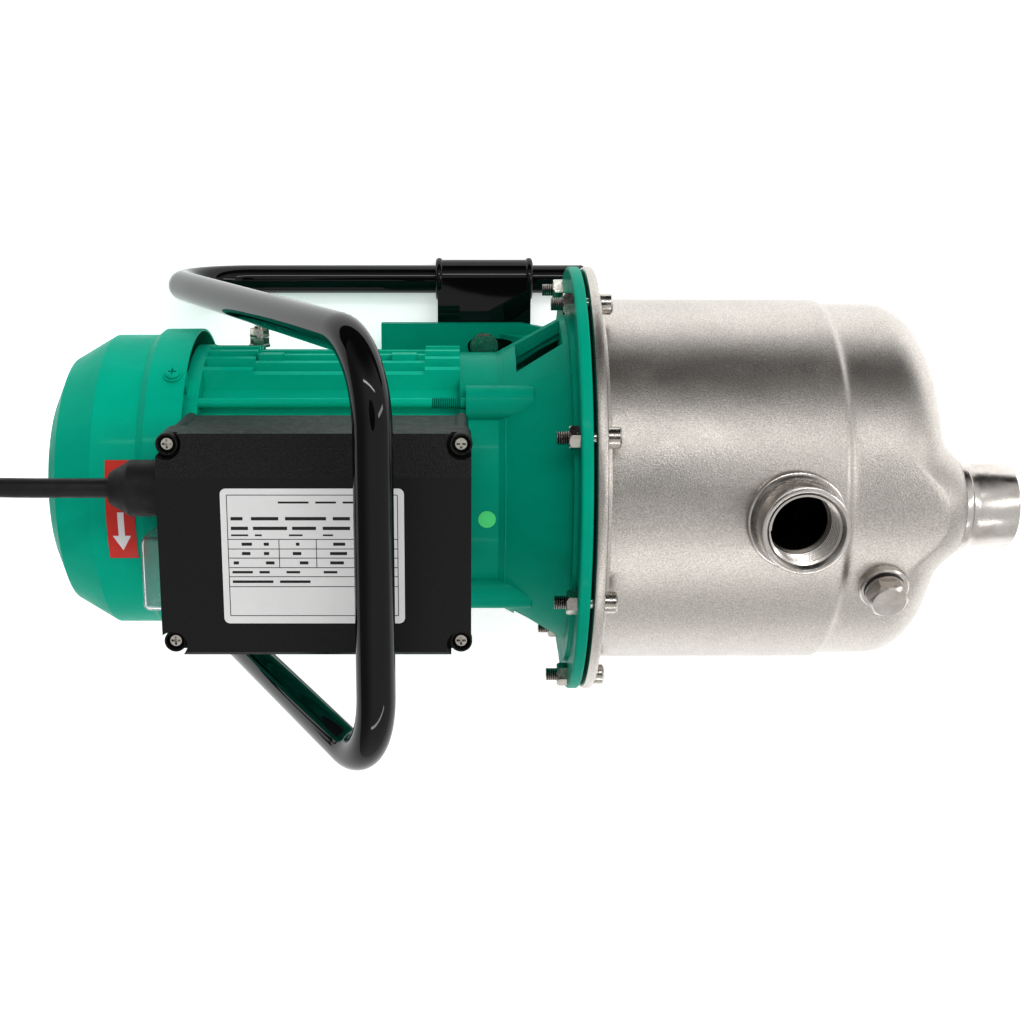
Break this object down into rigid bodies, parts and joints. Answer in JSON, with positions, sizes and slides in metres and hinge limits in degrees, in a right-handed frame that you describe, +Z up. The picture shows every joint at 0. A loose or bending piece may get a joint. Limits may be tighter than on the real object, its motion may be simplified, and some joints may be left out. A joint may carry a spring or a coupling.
{
  "type": "shallow well jet pump",
  "caption": "Portable self-priming jet pump: steel housing with threaded ports, finned motor, terminal box with switch, tube carrying frame, cord with plug.",
  "frame": {"origin": "on the floor under the middle of the pump's length and width, measured without the cord", "axes": "+X along the shaft out of the suction port, +Z up out of the discharge port, +Y to the side of the earthing stud"},
  "size_m": [0.6905, 0.2786, 0.3105],
  "materials": {
    "stainless_sheet": "bead-blasted sheet, satin with a fine grain",
    "stainless_turned": "turned and welded, bright",
    "zinc_steel": "bright screws, nuts and washers",
    "green_enamel": "semi-gloss enamel over cast and pressed metal",
    "black_enamel": "gloss enamel",
    "black_plastic": "fine moulded grain",
    "black_rubber": "matt",
    "clear_plastic": "clear and flexible",
    "red_plastic": "gloss",
    "label_foil": "satin foil with a printed frame and ruled lines",
    "label_red": "satin film with a white arrow",
    "label_green": "satin film",
    "seal_ceramic": "polished",
    "carbon": "matt",
    "pump_resin": "glass-filled resin",
    "brass": "turned",
    "core_steel": "varnished laminations",
    "copper_wire": "varnished windings",
    "shaft_steel": "ground",
    "bearing_steel": "polished",
    "aluminium_can": "drawn can",
    "ivory_plastic": "moulded",
    "cord_rubber": "matt jacket",
    "pin_nickel": "nickel plated"
  },
  "bodies": {
    "pump_unit": {"pump_housing": "stainless_sheet", "suction_socket": "stainless_turned", "discharge_socket": "stainless_turned", "filler_boss": "stainless_turned", "drain_boss": "stainless_turned", "housing_gasket": "black_rubber", "seal_plate": "stainless_sheet", "shaft_seal_seat": "seal_ceramic", "diffuser": "pump_resin", "ejector_body": "pump_resin", "jet_nozzle": "brass", "lantern": "green_enamel", "flange_screws": "zinc_steel", "flange_nuts": "zinc_steel", "stator_frame": "green_enamel", "stator_core": "core_steel", "stator_windings": "copper_wire", "bearing_outer_rings": "bearing_steel", "rear_endshield": "green_enamel", "fan_cover": "green_enamel", "fan_cover_screws": "green_enamel", "tie_bolts": "green_enamel", "earth_stud": "zinc_steel", "terminal_box_base": "black_plastic", "terminal_box_gasket": "black_rubber", "terminal_box_cover": "black_plastic", "cover_screws": "zinc_steel", "rating_plate": "label_foil", "capacitor": "aluminium_can", "terminal_block": "ivory_plastic", "cable_gland": "black_plastic", "gland_cap": "black_rubber", "switch_body": "black_plastic", "switch_splash_cover": "clear_plastic", "carry_frame": "black_enamel", "frame_brackets": "black_enamel", "frame_end_caps": "black_plastic", "foot_bolts": "zinc_steel", "foot_nuts": "zinc_steel", "rotation_label": "label_red", "test_dot": "label_green", "power_cord": "cord_rubber", "cord_coil": "cord_rubber", "plug_lead": "cord_rubber", "mains_plug": "black_rubber", "plug_pins": "pin_nickel"},
    "rotor": {"rotor_shaft": "shaft_steel", "rotor_core": "core_steel", "bearing_inner_rings": "bearing_steel", "bearing_balls": "bearing_steel", "cooling_fan": "black_plastic", "impeller": "pump_resin", "impeller_nut": "zinc_steel", "shaft_seal_ring": "carbon"},
    "rocker": {"rocker_button": "red_plastic"},
    "filler_plug": {"filler_plug": "stainless_turned", "filler_seal": "black_rubber"},
    "drain_plug": {"drain_plug": "stainless_turned", "drain_seal": "black_rubber"}
  },
  "joints": [
    {"name": "rotor_spin", "type": "hinge", "parent": "pump_unit", "child": "rotor", "pos_m": [0, 0, 0.1225], "axis": [1, 0, 0], "continuous": true},
    {"name": "rocker_switch", "type": "hinge", "parent": "pump_unit", "child": "rocker", "pos_m": [-0.1525, -0.021, 0.2185], "axis": [0, 0, 1], "range_deg": [-20, 0]},
    {"name": "filler_plug_out", "type": "slide", "parent": "pump_unit", "child": "filler_plug", "axis": [0, -0.3746, 0.9272], "range_m": [0, 0.03]},
    {"name": "drain_plug_out", "type": "slide", "parent": "pump_unit", "child": "drain_plug", "axis": [1, 0, 0], "range_m": [0, 0.03]}
  ]
}
